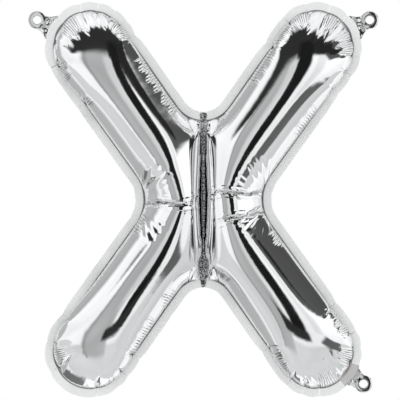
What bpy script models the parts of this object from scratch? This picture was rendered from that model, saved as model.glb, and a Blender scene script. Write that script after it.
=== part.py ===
"""A foil letter balloon: the letter X, inflated.

Two films are heat sealed together round the letter's outline and down its middle, and the air between them
swells each half of the letter into a bent tube. The letter faces -Y and stands up along +Z. The origin is
midway between the holes of the two upper hanging tabs, in the plane of the seal. Lengths are in metres.
"""

import math

import bmesh
import bpy
import numpy as np
from mathutils.geometry import delaunay_2d_cdt

# The inflated letter, seen from the front
LETTER_HEIGHT = 0.406
CAP_RADIUS = 0.0472
CAP_CENTRE_X = 0.1158
CAP_CENTRE_Z = LETTER_HEIGHT / 2 - CAP_RADIUS
ARM_TILT = math.radians(35.3)
ARM_TAPER = math.radians(0.3)
WAIST_FILLET = 0.034
CROTCH_FILLET = 0.0233

# The heat seal round the edge
SEAL_WIDTH = 0.0095
SEAL_THICKNESS = 0.0008
SEAL_UNDER_FILM = 0.0024

# The puckers round each cap: their places in degrees from the arm's own line, towards the letter's side
PUCKERS = {
    "upper_left": (-91, -70, -48, -23, 11, 47, 84),
    "upper_right": (-86, -51, -16, 10, 45, 68, 86),
    "lower_left": (-94, -71, -20, 31, 72, 90),
    "lower_right": (-80, -58, -35, 9, 34, 48, 63, 85),
}
SEAL_PUCKER = 0.0016
FILM_PUCKER = 0.30
FILM_PUCKER_LENGTH = 0.022

# The folds where the film bends at the waist, in the letter's own coordinates
FOLDS = (
    ((-0.0550, -0.0030), (-0.0125, -0.0050)),
    ((0.0560, 0.0078), (0.0080, 0.0060)),
    ((0.0560, -0.0103), (0.0145, -0.0205)),
)
FOLD_DEPTH = 0.0045
FOLD_HALF_WIDTH = 0.0045

# The film has no stretch, so it stands fuller beside the middle weld than an even swelling would, is drawn in
# at the waist, and is flatter towards the end of each arm
SHOULDER_RISE = 0.0125
SHOULDER_HALF_WIDTH = 0.023
SHOULDER_HALF_LENGTH = 0.046
WAIST_DRAW = 0.013
WAIST_DRAW_FROM = 0.026
WAIST_DRAW_LENGTH = 0.018
WAIST_LEAST_SHARE = 0.4
CAP_FLATTENING = 0.58
CAP_FLATTENING_LENGTH = 0.038

# The films. Their walls are drawn thick enough to be solids
FILM_THICKNESS = 0.0012
GAP = 0.0003
LATTICE = 0.0105
EDGE_STEP = 0.0075
SLOT_STEP = 0.0030
FIRST_ROW = 0.0040
FIRST_ROW_AT_SLOT = 0.0026

# The seal down the middle, in three strips with air passages between them: height of the ends of each from
# the letter's centre, and half of the width that shows between the films
CENTRE_SEALS = {
    "upper": (0.0475, 0.0728, 0.0040),
    "middle": (-0.0395, 0.0400, 0.0030),
    "lower": (-0.0728, -0.0475, 0.0050),
}
STRIP_OVERLAP = 0.0019

# The hanging tabs: the swing of each from its arm's line in degrees, the distance of its hole from the cap's
# centre, and its width where it leaves the seal
TABS = {
    "upper_left": (27.3, 0.0616, 0.0270),
    "upper_right": (27.3, 0.0616, 0.0270),
    "lower_right": (20.3, 0.0586, 0.0210),
}
TAB_END_RADIUS = 0.0091
TAB_HOLE_RADIUS = 0.0041
TAB_NECK = 0.0160

# The inflation valve: a flat sleeve sealed in between the films at the root of the lower right tab
VALVE_ARM = "lower_right"
VALVE_WIDTH = 0.0200

# The letter's centre lies below the origin, which is level with the holes of the upper tabs
CENTRE_Z = -CAP_CENTRE_Z - TABS["upper_left"][1] * math.cos(ARM_TILT + math.radians(TABS["upper_left"][0]))

SIDES = {"upper_left": (-1, 1), "upper_right": (1, 1), "lower_left": (-1, -1), "lower_right": (1, -1)}

FOIL = ((0.80, 0.81, 0.82, 1.0), 0.06)
SEALED_FOIL = ((0.74, 0.75, 0.76, 1.0), 0.22)


def material(name, finish):
    """Metallised film of one colour and roughness."""
    colour, roughness = finish
    made = bpy.data.materials.new(name)
    made.use_nodes = True
    shader = made.node_tree.nodes["Principled BSDF"]
    shader.inputs["Base Color"].default_value = colour
    shader.inputs["Metallic"].default_value = 1.0
    shader.inputs["Roughness"].default_value = roughness
    made.diffuse_color = colour
    return made


def arc(centre, radius, start, end, step):
    """Points along a circle's arc, with the first point and without the last. Angles are in radians."""
    count = max(2, round(abs(end - start) * radius / step))
    angles = [start + (end - start) * i / count for i in range(count)]
    return [(centre[0] + radius * math.cos(t), centre[1] + radius * math.sin(t)) for t in angles]


def line(start, end, step):
    """Points along a straight run, with the first point and without the last."""
    count = max(1, round(math.dist(start, end) / step))
    shares = [i / count for i in range(count)]
    return [tuple(a + (b - a) * t for a, b in zip(start, end)) for t in shares]


def nearness_to_pucker(point, arm):
    """How near a point of a cap is to a pucker: 1 on it, 0 midway between two, and 0 past the last."""
    from_centre = (abs(point[0]) - CAP_CENTRE_X, abs(point[1]) - CAP_CENTRE_Z)
    angle = math.degrees(math.pi / 2 - ARM_TILT - math.atan2(from_centre[1], from_centre[0]))
    angle = (angle + 180) % 360 - 180
    puckers = PUCKERS[arm]
    for low, high in zip(puckers, puckers[1:]):
        if low <= angle <= high:
            return 1 - math.sin(math.pi * (angle - low) / (high - low))
    return 0.0


def arm_edge(arm, inset, step):
    """One quarter of the letter's outline, from its waist round the arm's cap to its crotch, in the letter's
    own coordinates. inset moves it in from the cut edge of the film."""
    cap, waist, crotch = CAP_RADIUS - inset, WAIST_FILLET + inset, CROTCH_FILLET + inset
    centre = (CAP_CENTRE_X, CAP_CENTRE_Z)
    waist_side = (math.cos(ARM_TILT + ARM_TAPER), -math.sin(ARM_TILT + ARM_TAPER))
    crotch_side = (-math.cos(ARM_TILT - ARM_TAPER), math.sin(ARM_TILT - ARM_TAPER))
    waist_x = (np.dot(centre, waist_side) + cap + waist) / waist_side[0]
    crotch_z = (np.dot(centre, crotch_side) + cap + crotch) / crotch_side[1]
    outer_start = (waist_x - waist * waist_side[0], -waist * waist_side[1])
    outer_end = (centre[0] + cap * waist_side[0], centre[1] + cap * waist_side[1])
    inner_start = (centre[0] + cap * crotch_side[0], centre[1] + cap * crotch_side[1])
    inner_end = (-crotch * crotch_side[0], crotch_z - crotch * crotch_side[1])
    to_waist = -ARM_TILT - ARM_TAPER
    to_crotch = math.pi - ARM_TILT + ARM_TAPER
    round_end = arc(centre, cap, to_waist, to_crotch, step)
    depth = SEAL_PUCKER * max(0.0, 1 - inset / SEAL_WIDTH)
    drawn = [1 - depth * nearness_to_pucker(p, arm) / cap for p in round_end]
    round_end = [tuple(c + (v - c) * d for c, v in zip(centre, p)) for p, d in zip(round_end, drawn)]
    points = arc((waist_x, 0), waist, math.pi, math.pi + to_waist, step)
    points += line(outer_start, outer_end, step)
    points += round_end
    points += line(inner_start, inner_end, step)
    points += arc((0, crotch_z), crotch, to_crotch - math.pi, -math.pi / 2, step)
    points.append((0, crotch_z - crotch))
    x, z = SIDES[arm]
    return [(x * p[0], z * p[1]) for p in points]


def letter_outline(inset, step):
    """The whole outline, anticlockwise from the right of the waist."""
    outline = []
    for arm in ("upper_right", "upper_left", "lower_left", "lower_right"):
        quarter = arm_edge(arm, inset, step)
        if arm in ("upper_left", "lower_right"):
            quarter.reverse()
        outline += quarter[:-1]
    return outline


def slot_outline(low, high, half_width, step):
    """A slot with round ends, along the letter's middle."""
    outline = arc((0, high - half_width), half_width, 0, math.pi, step)
    outline += line((-half_width, high - half_width), (-half_width, low + half_width), step)
    outline += arc((0, low + half_width), half_width, math.pi, 2 * math.pi, step)
    outline += line((half_width, low + half_width), (half_width, high - half_width), step)
    return outline


def inside(points, outline):
    """For each point, whether it lies in the outline."""
    found = np.zeros(len(points), bool)
    for (ax, az), (bx, bz) in zip(outline, outline[1:] + outline[:1]):
        crosses = (points[:, 1] < az) != (points[:, 1] < bz)
        if az != bz:
            found ^= crosses & (points[:, 0] < ax + (points[:, 1] - az) * (bx - ax) / (bz - az))
    return found


def distances(points, others):
    """How far each point is from the nearest of the others."""
    return np.linalg.norm(np.array(points)[:, None] - np.array(others)[None], axis=2).min(axis=1)


def free_points(outline):
    """Points of the film off its seals: a row along each seal and each fold, and an even lattice between."""
    rows = []
    for low, high, half in CENTRE_SEALS.values():
        grown = FIRST_ROW_AT_SLOT
        rows += slot_outline(low - grown, high + grown, half + grown, 1.3 * SLOT_STEP)
    for start, end in FOLDS:
        fold = line(start, end, EDGE_STEP)
        rows += [p for p, gap in zip(fold, distances(fold, rows + outline)) if gap > FIRST_ROW]
    edge_row = letter_outline(SEAL_WIDTH + FIRST_ROW, EDGE_STEP)
    rows += [p for p, gap in zip(edge_row, distances(edge_row, rows)) if gap > EDGE_STEP / 2]
    across = np.arange(-0.18, 0.18, LATTICE)
    up = np.arange(-0.21, 0.21, math.sqrt(0.75) * LATTICE)
    grid = np.array([(x + LATTICE / 2 * (i % 2), z) for i, z in enumerate(up) for x in across])
    keep = inside(grid, outline) & (distances(grid, outline) > EDGE_STEP)
    keep &= distances(grid, rows) > 0.55 * LATTICE
    for low, high, half in CENTRE_SEALS.values():
        keep &= ~inside(grid, slot_outline(low, high, half + FIRST_ROW, SLOT_STEP))
    return rows + [tuple(p) for p in grid[keep]]


def flat_film(outline, slots):
    """The film laid flat: its points, its triangles, and how many of the points are sealed, which come
    first."""
    loops = [outline, *slots]
    sealed = [p for loop in loops for p in loop]
    edges = []
    for loop in loops:
        first = len(edges)
        edges += [(first + i, first + (i + 1) % len(loop)) for i in range(len(loop))]
    points, _, triangles, *_ = delaunay_2d_cdt(sealed + free_points(outline), edges, [], 0, 1e-7)
    points = np.array(points)
    triangles = np.array(triangles)
    middle = points[triangles].mean(axis=1)
    keep = inside(middle, outline)
    for slot in slots:
        keep &= ~inside(middle, slot)
    return points, triangles[keep], len(sealed)


def swollen(points, triangles, sealed):
    """How high air lifts each point of the film. The height is the root of a membrane's sag, so that a long
    arm swells to a tube of round section and its cap to a dome."""
    count = len(points)
    stiffness = np.zeros((count, count))
    load = np.zeros(count)
    corners = points[triangles]
    one, other = corners[:, 1] - corners[:, 0], corners[:, 2] - corners[:, 0]
    area = np.abs(one[:, 0] * other[:, 1] - one[:, 1] * other[:, 0]) / 2
    for i in range(3):
        at, left, right = triangles[:, i], triangles[:, i - 2], triangles[:, i - 1]
        a, b = points[left] - points[at], points[right] - points[at]
        half_cotangent = (a * b).sum(axis=1) / (4 * area)
        np.add.at(stiffness, (left, right), -half_cotangent)
        np.add.at(stiffness, (right, left), -half_cotangent)
        np.add.at(stiffness, (left, left), half_cotangent)
        np.add.at(stiffness, (right, right), half_cotangent)
        np.add.at(load, at, area / 3)
    sag = np.zeros(count)
    sag[sealed:] = np.linalg.solve(stiffness[sealed:, sealed:], load[sealed:])
    return np.sqrt(2 * np.maximum(sag, 0))


def gathered(points, lift):
    """The film's height, changed from an even swelling to that of a film without stretch, whose spare width
    gathers at the waist and round the caps."""
    across, up = np.abs(points).T
    shoulder = np.exp(-(across / SHOULDER_HALF_WIDTH) ** 3 - (up / SHOULDER_HALF_LENGTH) ** 2)
    towards_waist = np.clip((across - WAIST_DRAW_FROM) / WAIST_DRAW_FROM, 0, 1)
    waist = towards_waist**2 * (3 - 2 * towards_waist) * np.exp(-up / WAIST_DRAW_LENGTH)
    film_radius = CAP_RADIUS - SEAL_WIDTH
    from_centre = np.abs(points) - (CAP_CENTRE_X, CAP_CENTRE_Z)
    to_end = film_radius - from_centre @ (math.sin(ARM_TILT), math.cos(ARM_TILT))
    beside = np.clip(from_centre @ (math.cos(ARM_TILT), -math.sin(ARM_TILT)) / film_radius, -1, 1)
    flattened = CAP_FLATTENING * np.exp(-to_end / CAP_FLATTENING_LENGTH) * (1 - beside**2)
    risen = lift * (1 - flattened) + SHOULDER_RISE * shoulder * (1 - np.exp(-2 * lift / SHOULDER_RISE))
    return np.maximum(risen - WAIST_DRAW * waist, WAIST_LEAST_SHARE * lift)


def creased(points, lift):
    """The film's height with the puckers round the caps and the folds at the waist pressed in."""
    names = {place: arm for arm, place in SIDES.items()}
    pressed = lift.copy()
    for i, point in enumerate(points):
        arm = names[(1 if point[0] > 0 else -1, 1 if point[1] > 0 else -1)]
        from_centre = math.dist(np.abs(point), (CAP_CENTRE_X, CAP_CENTRE_Z))
        fade = (CAP_RADIUS - SEAL_WIDTH - from_centre) / FILM_PUCKER_LENGTH
        if fade < 1:
            near = nearness_to_pucker(point, arm)
            pressed[i] *= 1 - FILM_PUCKER * near * (1 - max(fade, 0.0))
    for start, end in FOLDS:
        start, run = np.array(start), np.subtract(end, start)
        along = np.clip((points - start) @ run / (run @ run), 0, 1)
        off = np.linalg.norm(points - start - along[:, None] * run, axis=1)
        pressed -= FOLD_DEPTH * np.exp(-(off / FOLD_HALF_WIDTH) ** 2) * np.minimum(1, lift / (4 * FOLD_DEPTH))
    return pressed


def moved_in(outline, distance):
    """A loop's points, each moved square to the loop, to the left of its run for a distance above zero."""
    ring = np.array(outline)
    run = np.roll(ring, -1, axis=0) - np.roll(ring, 1, axis=0)
    left = np.stack((-run[:, 1], run[:, 0]), axis=1) / np.linalg.norm(run, axis=1)[:, None]
    return ring + distance * left


def film(name, side, foil):
    """One of the two films, swollen to its side of the seal: -1 is the front and 1 the back. The edge of its
    wall stands flat on the seal."""
    outline = letter_outline(SEAL_WIDTH, EDGE_STEP)
    slots = [slot_outline(low, high, half, SLOT_STEP) for low, high, half in CENTRE_SEALS.values()]
    points, triangles, sealed = flat_film(outline, slots)
    foot = SEAL_THICKNESS / 2 + GAP
    lift = creased(points, gathered(points, swollen(points, triangles, sealed))) + foot
    triangles = triangles[:, ::-side]
    shape = bmesh.new()
    outer = [shape.verts.new((x, side * y, z + CENTRE_Z)) for (x, z), y in zip(points, lift)]
    for triangle in triangles:
        shape.faces.new([outer[i] for i in triangle])
    shape.normal_update()
    inner = [shape.verts.new(corner.co - FILM_THICKNESS * corner.normal) for corner in outer]
    for corner in inner:
        corner.co.y = side * max(side * corner.co.y, foot)
    first = 0
    for loop, distance in [(outline, FILM_THICKNESS)] + [(slot, -FILM_THICKNESS) for slot in slots]:
        ring = range(first, first + len(loop))
        for i, (x, z) in zip(ring, moved_in(loop, distance)):
            inner[i].co = (x, side * foot, z + CENTRE_Z)
        for i, j in zip(ring, [*ring[1:], ring[0]]):
            rim = [outer[i], inner[i], inner[j], outer[j]]
            shape.faces.new(rim if (distance > 0) == (side < 0) else rim[::-1])
        first += len(loop)
    for triangle in triangles:
        shape.faces.new([inner[i] for i in triangle[::-1]])
    mesh = bpy.data.meshes.new(name)
    shape.to_mesh(mesh)
    shape.free()
    mesh.shade_smooth()
    mesh.materials.append(foil)
    made = bpy.data.objects.new(name, mesh)
    bpy.context.scene.collection.objects.link(made)


def flat_piece(name, loops, foil):
    """A flat piece in the plane of the seal, with the first loop as its edge and the others as its holes."""
    curve = bpy.data.curves.new(name, "CURVE")
    curve.dimensions = "2D"
    curve.fill_mode = "BOTH"
    curve.extrude = SEAL_THICKNESS / 2
    for loop in loops:
        spline = curve.splines.new("POLY")
        spline.points.add(len(loop) - 1)
        for point, (x, z) in zip(spline.points, loop):
            point.co = (x, z, 0, 1)
        spline.use_cyclic_u = True
    curve.materials.append(foil)
    made = bpy.data.objects.new(name, curve)
    bpy.context.scene.collection.objects.link(made)
    made.location = (0, 0, CENTRE_Z)
    made.rotation_euler = (math.pi / 2, 0, 0)


def tab_direction(arm):
    """The angle in which a tab points from its cap's centre, in radians from +X towards +Z."""
    x, z = SIDES[arm]
    angle = math.pi / 2 - ARM_TILT - math.radians(TABS[arm][0])
    return math.atan2(z * math.sin(angle), x * math.cos(angle))


def round_cap(arm, radius, angle):
    """A point round a cap's centre, in the letter's coordinates."""
    x, z = SIDES[arm]
    return (x * CAP_CENTRE_X + radius * math.cos(angle), z * CAP_CENTRE_Z + radius * math.sin(angle))


def edge_seal(foil):
    """The sealed margin round the letter, two films thick, from one side of the valve to the other. Its
    inner edge carries the swollen films."""
    middle = tab_direction(VALVE_ARM)
    half_turn = VALVE_WIDTH / 2 / CAP_RADIUS
    runs = []
    for inset, step in ((0, EDGE_STEP / 2), (SEAL_WIDTH + SEAL_UNDER_FILM, EDGE_STEP)):
        ends = [round_cap(VALVE_ARM, CAP_RADIUS - inset, middle + turn) for turn in (half_turn, -half_turn)]
        valve = round_cap(VALVE_ARM, CAP_RADIUS - inset, middle)
        outline = letter_outline(inset, step)
        first = min(range(len(outline)), key=lambda i: math.dist(outline[i], ends[0]))
        outline = outline[first:] + outline[:first]
        reach = math.dist(valve, ends[0]) + step / 3
        runs.append([ends[0], *[p for p in outline if math.dist(p, valve) > reach], ends[1]])
    outer, inner = runs
    flat_piece("edge_seal", [outer + inner[::-1]], foil)


def valve_sleeve(foil):
    """The flat valve, where the seal round the edge leaves room for it."""
    middle = tab_direction(VALVE_ARM)
    outer, inner = CAP_RADIUS, CAP_RADIUS - SEAL_WIDTH - SEAL_UNDER_FILM
    half_turn = VALVE_WIDTH / 2 / CAP_RADIUS - GAP / inner
    turns = np.linspace(middle - half_turn, middle + half_turn, 7)
    loop = [round_cap(VALVE_ARM, outer, t) for t in turns]
    loop += [round_cap(VALVE_ARM, inner, t) for t in turns[::-1]]
    flat_piece("valve_sleeve", [loop], foil)


def centre_seal(name, foil):
    """One strip of the seal down the letter's middle."""
    low, high, half = CENTRE_SEALS[name]
    loop = slot_outline(low - STRIP_OVERLAP, high + STRIP_OVERLAP, half + STRIP_OVERLAP, SLOT_STEP)
    flat_piece("centre_seal_" + name, [loop], foil)


def hanging_tab(arm, foil):
    """A tab with a punched hole: a round end, a neck, and a flare whose root follows the edge of the seal."""
    _, reach, root_width = TABS[arm]
    angle = tab_direction(arm)
    hole = round_cap(arm, reach, angle)
    neck_at = math.sqrt(TAB_END_RADIUS**2 - (TAB_NECK / 2) ** 2)
    neck_turn = math.atan2(TAB_NECK / 2, -neck_at)
    root_turn = math.asin(root_width / 2 / CAP_RADIUS)
    root_radius = CAP_RADIUS + GAP
    root_at = reach - root_radius * math.cos(root_turn)
    shares = np.linspace(0.2, 0.8, 4)
    widening = (root_width - TAB_NECK) / 2
    flare = [(neck_at + (root_at - neck_at) * t, TAB_NECK / 2 + widening * t**2) for t in shares]
    edge = [(TAB_END_RADIUS * math.cos(t), TAB_END_RADIUS * math.sin(t))
            for t in np.linspace(neck_turn, -neck_turn, 25)]
    edge += [(-along, -across) for along, across in flare]
    edge += [(root_radius * math.cos(t) - reach, root_radius * math.sin(t))
             for t in np.linspace(-root_turn, root_turn, 9)]
    edge += [(-along, across) for along, across in flare[::-1]]
    ring = arc((0, 0), TAB_HOLE_RADIUS, 0, 2 * math.pi, TAB_HOLE_RADIUS / 4)
    out, side = (math.cos(angle), math.sin(angle)), (-math.sin(angle), math.cos(angle))
    placed = [[(hole[0] + a * out[0] + b * side[0], hole[1] + a * out[1] + b * side[1]) for a, b in loop]
              for loop in (edge, ring)]
    flat_piece("hanging_tab_" + arm, placed, foil)


def build():
    for old in list(bpy.data.objects):
        bpy.data.objects.remove(old)
    foil = material("foil", FOIL)
    sealed_foil = material("sealed_foil", SEALED_FOIL)
    film("front_film", -1, foil)
    film("back_film", 1, foil)
    edge_seal(sealed_foil)
    valve_sleeve(sealed_foil)
    for name in CENTRE_SEALS:
        centre_seal(name, sealed_foil)
    for arm in TABS:
        hanging_tab(arm, sealed_foil)


build()
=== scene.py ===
import math

import bmesh
import bpy
import numpy as np
from mathutils import Matrix, Vector
from mathutils.geometry import delaunay_2d_cdt
from mathutils.kdtree import KDTree


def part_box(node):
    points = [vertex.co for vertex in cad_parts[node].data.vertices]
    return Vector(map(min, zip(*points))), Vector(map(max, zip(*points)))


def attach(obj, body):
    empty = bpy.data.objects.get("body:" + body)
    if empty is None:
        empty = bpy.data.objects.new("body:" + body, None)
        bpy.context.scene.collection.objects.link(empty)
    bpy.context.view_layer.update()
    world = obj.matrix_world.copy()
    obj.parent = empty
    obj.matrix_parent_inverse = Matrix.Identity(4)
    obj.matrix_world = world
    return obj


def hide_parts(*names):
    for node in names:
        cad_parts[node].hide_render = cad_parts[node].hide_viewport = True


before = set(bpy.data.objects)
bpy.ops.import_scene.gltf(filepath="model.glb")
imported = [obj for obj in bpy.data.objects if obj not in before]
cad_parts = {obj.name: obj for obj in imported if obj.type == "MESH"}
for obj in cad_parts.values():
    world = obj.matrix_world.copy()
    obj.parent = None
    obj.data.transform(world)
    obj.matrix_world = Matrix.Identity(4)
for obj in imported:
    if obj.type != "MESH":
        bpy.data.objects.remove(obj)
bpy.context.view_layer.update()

# The camera stands square to the letter's front, level with its middle and far enough off that the arms
# keep their shape. It takes in a field 410 mm wide at the letter.
CAMERA_DISTANCE = 2.5
FIELD_WIDTH = 0.41
FIELD_MIDDLE = (-0.0035, -0.1845)

lens = bpy.data.cameras.new("camera")
lens.sensor_width = 36
lens.lens = lens.sensor_width * CAMERA_DISTANCE / FIELD_WIDTH
camera = bpy.data.objects.new("camera", lens)
bpy.context.scene.collection.objects.link(camera)
camera.location = (FIELD_MIDDLE[0], -CAMERA_DISTANCE, FIELD_MIDDLE[1])
camera.rotation_euler = (math.pi / 2, 0, 0)
bpy.context.scene.camera = camera
bpy.context.scene.view_settings.view_transform = "Standard"

# The studio: a white tent all round, with grey and black cards in it that the bright film reflects as
# stripes along its arms. Straight at the camera the tent is plain white.
TENT_WHITE = 1.04
# Each card: its middle in degrees round from the camera and up, its half width and half height, its turn,
# how soft its edges are, and its brightness. A later card hangs in front of the earlier ones.
CARDS = (
    (8, -58, 70, 27, 0, 3, 0.71),
    (-125, 0, 36, 50, 0, 9, 0.50),
    (180, 0, 34, 60, 0, 5, 0.14),
    (-112, -56, 18, 15, 0, 3, 0.17),
    (-20, 8, 15, 50, 0, 4, 0.48),
    (-4, 12, 7, 18, 0, 4, 0.72),
    (-33, 8, 2, 50, 0, 1.5, 0.36),
    (-6, 47, 40, 16, 0, 4, 0.03),
    (88, 31, 46, 9, 0, 2.5, 0.09),
    (47, -23, 12, 7, 26, 2, 0.13),
    (28, 36, 24, 8, 8, 2, 0.02),
    (12, 8, 9.5, 34, 4, 2, 0.012),
    (4, -22, 17, 5, 0, 2, 0.03),
    (33, 6, 4, 18, 0, 2, 0.85),
)
# How much the cards' light varies from place to place, how fine these patches are, and what lights matt film
UNEVENNESS = 0.22
PATCHES = 1.7
SOFT_LIGHT = 1.12


def hex_colour(text):
    """An sRGB colour written as RRGGBB, as the linear colour that the shaders take."""
    shares = [int(text[i:i + 2], 16) / 255 for i in (0, 2, 4)]
    return tuple(s / 12.92 if s <= 0.04045 else ((s + 0.055) / 1.055) ** 2.4 for s in shares) + (1.0,)


def add_node(tree, kind, settings=None, **links):
    """One node in a tree, with its settings, and its sockets linked or set by name, or by number as s0."""
    node = tree.nodes.new(kind)
    for name, value in (settings or {}).items():
        setattr(node, name, value)
    for name, value in links.items():
        socket = node.inputs[int(name[1:]) if name[1:].isdigit() else name.replace("_", " ")]
        if isinstance(value, bpy.types.NodeSocket):
            tree.links.new(value, socket)
        else:
            socket.default_value = value
    return node


tent = bpy.data.worlds.new("white_tent")
tent.use_nodes = True
bpy.context.scene.world = tent
tree = tent.node_tree
tree.nodes.clear()
look = add_node(tree, "ShaderNodeTexCoord").outputs["Generated"]
light = TENT_WHITE
for around, up, half_width, half_height, turn, soft, brightness in CARDS:
    way = Matrix.Rotation(math.radians(around), 3, "Z") @ Matrix.Rotation(math.radians(-up), 3, "X")
    right, top = way @ Vector((1, 0, 0)), way @ Vector((0, 0, 1))
    away = way @ Vector((0, -1, 0))
    tip = Matrix.Rotation(math.radians(-turn), 3, away)
    ahead = add_node(tree, "ShaderNodeVectorMath", {"operation": "DOT_PRODUCT"}, s0=look, s1=away)
    share = 1.0
    for axis, half in ((tip @ right, half_width), (tip @ top, half_height)):
        off = add_node(tree, "ShaderNodeVectorMath", {"operation": "DOT_PRODUCT"}, s0=look, s1=axis)
        off = add_node(tree, "ShaderNodeMath", {"operation": "ARCTAN2"}, s0=off.outputs["Value"],
                       s1=ahead.outputs["Value"])
        off = add_node(tree, "ShaderNodeMath", {"operation": "ABSOLUTE"}, s0=off.outputs[0])
        inside = add_node(tree, "ShaderNodeMapRange", {"interpolation_type": "SMOOTHSTEP"}, s0=off.outputs[0],
                          s1=math.radians(half + soft), s2=math.radians(half - soft), s3=0.0, s4=1.0)
        both = add_node(tree, "ShaderNodeMath", {"operation": "MULTIPLY"}, s0=share, s1=inside.outputs[0])
        share = both.outputs[0]
    hung = add_node(tree, "ShaderNodeMix", {"data_type": "FLOAT"}, s0=share, s2=light, s3=brightness)
    light = hung.outputs[0]
shade = add_node(tree, "ShaderNodeTexNoise", Vector=look, Scale=PATCHES, Detail=1.0).outputs["Fac"]
shade = add_node(tree, "ShaderNodeMapRange", s0=shade, s1=0.3, s2=0.7,
                 s3=1 - UNEVENNESS / 2, s4=1 + UNEVENNESS / 2)
light = add_node(tree, "ShaderNodeMath", {"operation": "MULTIPLY"}, s0=light, s1=shade.outputs[0]).outputs[0]
rays = add_node(tree, "ShaderNodeLightPath").outputs
light = add_node(tree, "ShaderNodeMix", {"data_type": "FLOAT"}, s0=rays["Is Diffuse Ray"], s2=light,
                 s3=SOFT_LIGHT)
reflected = add_node(tree, "ShaderNodeBackground", Color=light.outputs[0])
seen = add_node(tree, "ShaderNodeBackground", Color=(1, 1, 1, 1))
shown = add_node(tree, "ShaderNodeMixShader", s0=rays["Is Camera Ray"], s1=reflected.outputs[0],
                 s2=seen.outputs[0])
add_node(tree, "ShaderNodeOutputWorld", Surface=shown.outputs[0])

# The floor is pale paper a good way below, in metres. The bright film doesn't show it, because the cards
# stand for all that it reflects, but it lights the matt film from below.
FLOOR_DEPTH = 1.3
FLOOR_HALF_WIDTH = 1.1

floor_shape = bmesh.new()
bmesh.ops.create_grid(floor_shape, x_segments=1, y_segments=1, size=FLOOR_HALF_WIDTH)
bmesh.ops.translate(floor_shape, verts=floor_shape.verts, vec=(0, 0, -FLOOR_DEPTH))
floor_mesh = bpy.data.meshes.new("studio_floor")
floor_shape.to_mesh(floor_mesh)
floor_shape.free()
paper = bpy.data.materials.new("white_floor_paper")
paper.use_nodes = True
paper.node_tree.nodes["Principled BSDF"].inputs["Base Color"].default_value = hex_colour("d4d5d4")
paper.node_tree.nodes["Principled BSDF"].inputs["Roughness"].default_value = 0.9
floor_mesh.materials.append(paper)
studio_floor = bpy.data.objects.new("studio_floor", floor_mesh)
bpy.context.scene.collection.objects.link(studio_floor)
studio_floor.visible_glossy = False

# The cut and the seam. Two films of metallised nylon are die cut flat as one wide letter and welded
# together along a seam inside the cut edge. Air draws the arms in: the flat seam is longer than the seam of
# the swollen letter, and it loses its spare length in a kink here and there. Lengths are in millimetres
# here, from the letter's middle.
SEAL_WIDTH = 9.5
# The radius and centre of a cap, how many degrees an arm leans and narrows by, and the radii at the waist
# and the crotch
FLAT_SEAM = {"cap": 56.8, "centre": (112.7, 155.0), "tilt": 27.3, "taper": 0.0, "waist": 29.5, "crotch": 20.5}
SWOLLEN_SEAM = {"cap": 37.7, "centre": (115.8, 155.8), "tilt": 35.3, "taper": 0.3, "waist": 43.5,
                "crotch": 32.8}
LETTER_MIDDLE = (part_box("centre_seal_upper")[1][2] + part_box("centre_seal_lower")[0][2]) / 2
ARMS = {"upper_right": (1, 1), "upper_left": (-1, 1), "lower_left": (-1, -1), "lower_right": (1, -1)}
# Where the cut edge is kinked, how strongly, and how far its crease runs in on the flat film
KINKS = {
    "upper_left": ((-61.9, 17.1, 0.4, 26), (-120.3, 100.2, 0.3, 12), (-156.2, 135.0, 1, 18),
                   (-161.3, 163.7, 0.9, 20), (-149.0, 186.3, 0.9, 16), (-126.5, 198.6, 1, 24),
                   (-107.0, 202.7, 0.8, 12), (-90.6, 196.5, 1, 20), (-75.2, 186.3, 0.8, 10),
                   (-70.1, 168.8, 1.5, 38), (-34.2, 114.5, 0.2, 8)),
    "upper_right": ((60.8, 6.7, 0.3, 0), (136.9, 110.4, 1, 20), (152.3, 125.8, 0.9, 18),
                    (159.5, 147.3, 0.9, 16), (161.5, 165.8, 0.9, 18), (145.1, 187.3, 0.9, 20),
                    (129.8, 197.5, 1, 20), (105.2, 201.6, 1, 22), (79.5, 189.3, 1, 20),
                    (64.2, 159.6, 1.2, 26)),
    "lower_left": ((-60.8, -3.4, 0.3, 0), (-65.0, -27.0, 0.4, 24), (-141.9, -119.2, 1, 18),
                   (-158.3, -145.9, 1, 20), (-155.2, -175.6, 1, 22), (-109.1, -198.1, 0.8, 20),
                   (-85.5, -195.1, 1, 20), (-73.2, -183.8, 1, 18), (-64.0, -164.3, 1, 24),
                   (-32.2, -118.2, 0.3, 10)),
    "lower_right": ((68.3, -10.6, 0.3, 0), (135.9, -105.9, 1, 20), (158.5, -133.6, 1, 18),
                    (162.6, -152.5, 1, 16), (161.5, -167.4, 1, 18), (146.8, -186.9, 1, 20),
                    (119.1, -202.2, 1, 20), (101.3, -199.6, 0.8, 14), (85.2, -189.9, 1, 20),
                    (61.4, -155.4, 1, 26)),
}
# How much of the spare film between them the kinks take up, half of the length of seam that one takes, and
# how deep and how long the dip beside it is in the cut edge
KINK_SHARE = 0.82
KINK_HALF_LENGTH = 0.8
KINK_DIP = 1.7
KINK_DIP_LENGTH = 5.0
# How high a kink's pleat stands, as a share of the seam that it takes
KINK_LIFT = 0.42
# How far the margin waves out of its plane and how often, and how high and for how long it is crumpled at
# the crotches, the lower one less
MARGIN_WAVE = 0.8
MARGIN_WAVE_STEP = 15.0
CROTCH_CRUMPLE = 1.2
CROTCH_CRUMPLE_LENGTH = 6.0
FINE_PITCH = 2.9
# The long creases across the waist, on the flat film: where each starts and ends, and half of the width of
# film that it takes up at its widest
WAIST_CREASES = {
    "front_film": (((-101, -3.4), (-8, -4.5), 4.2), ((101, 7.2), (4, 7.5), 3.4),
                   ((103.0, -12.6), (28, -23.0), 3.4)),
    "back_film": (((-101, -3.4), (-10, -1.0), 4.2), ((101, 7.2), (8, 5.0), 3.4),
                  ((103.0, -12.6), (28, -20.0), 3.4)),
}
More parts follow.
